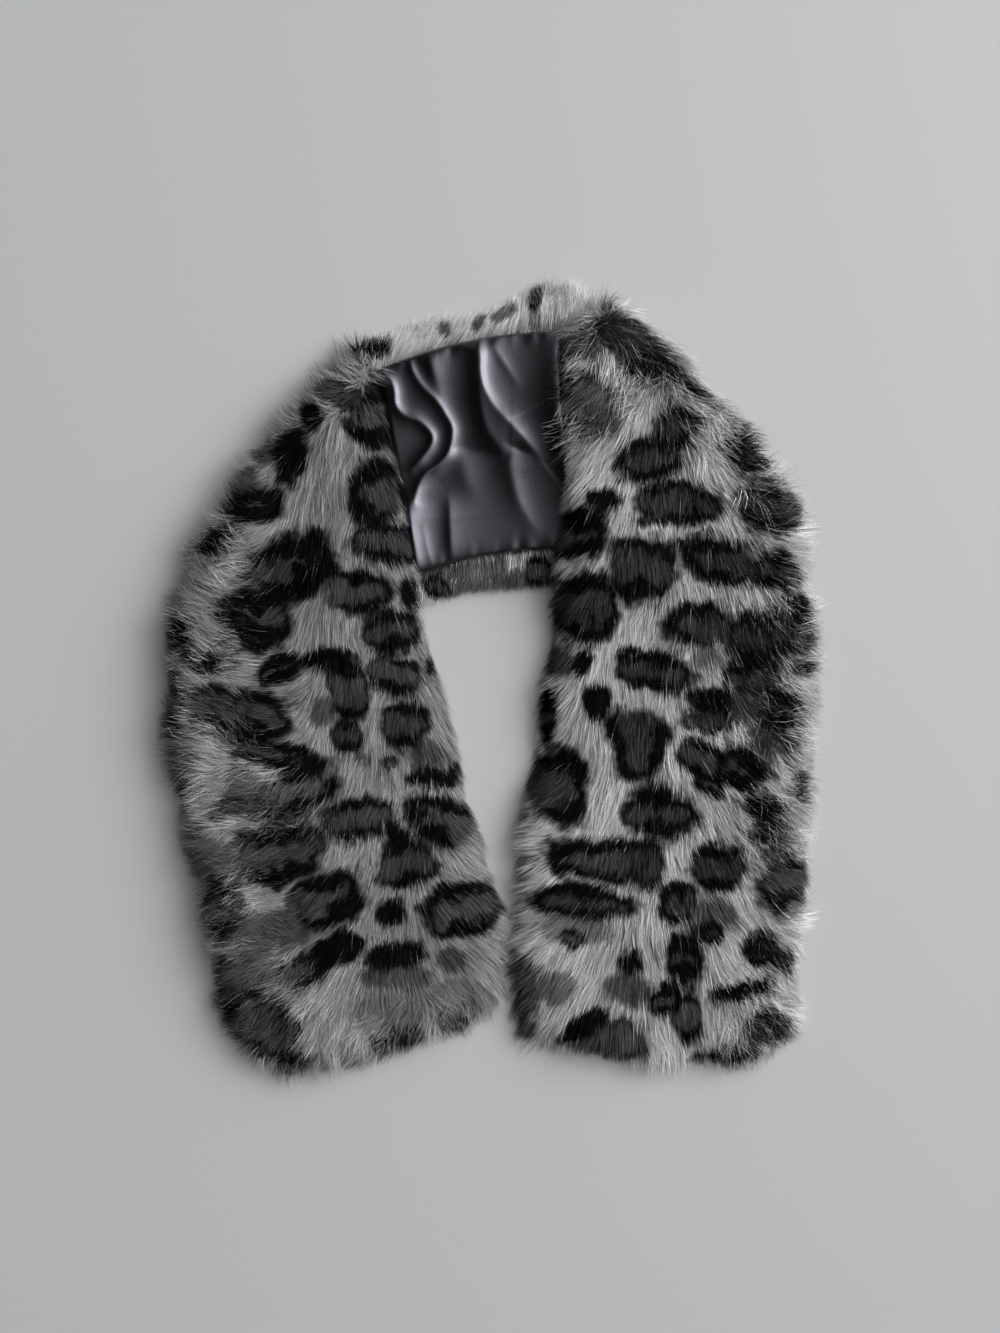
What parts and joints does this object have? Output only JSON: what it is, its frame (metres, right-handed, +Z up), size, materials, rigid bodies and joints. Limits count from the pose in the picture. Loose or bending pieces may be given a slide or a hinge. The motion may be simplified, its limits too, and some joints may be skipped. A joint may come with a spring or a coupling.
{
  "type": "fur neck scarf",
  "caption": "Lined fur neck scarf laid flat, its middle lining side up and both ends folded over on diagonals into a horseshoe.",
  "frame": {"origin": "on the floor under the middle of the scarf's outline as it lies", "axes": "+X to the right and +Y up the page as seen from above, from the tails to the middle stretch; +Z up from the floor"},
  "size_m": [0.3948, 0.4764, 0.036],
  "materials": {
    "spotted_fur": "long soft pile, grey with black-ringed spots",
    "lining_satin": "dark plum-grey satin with a soft sheen"
  },
  "bodies": {
    "root": {"left_arm_fur": "spotted_fur", "right_arm_fur": "spotted_fur", "neck_fur": "spotted_fur", "neck_lining": "lining_satin"}
  },
  "joints": []
}
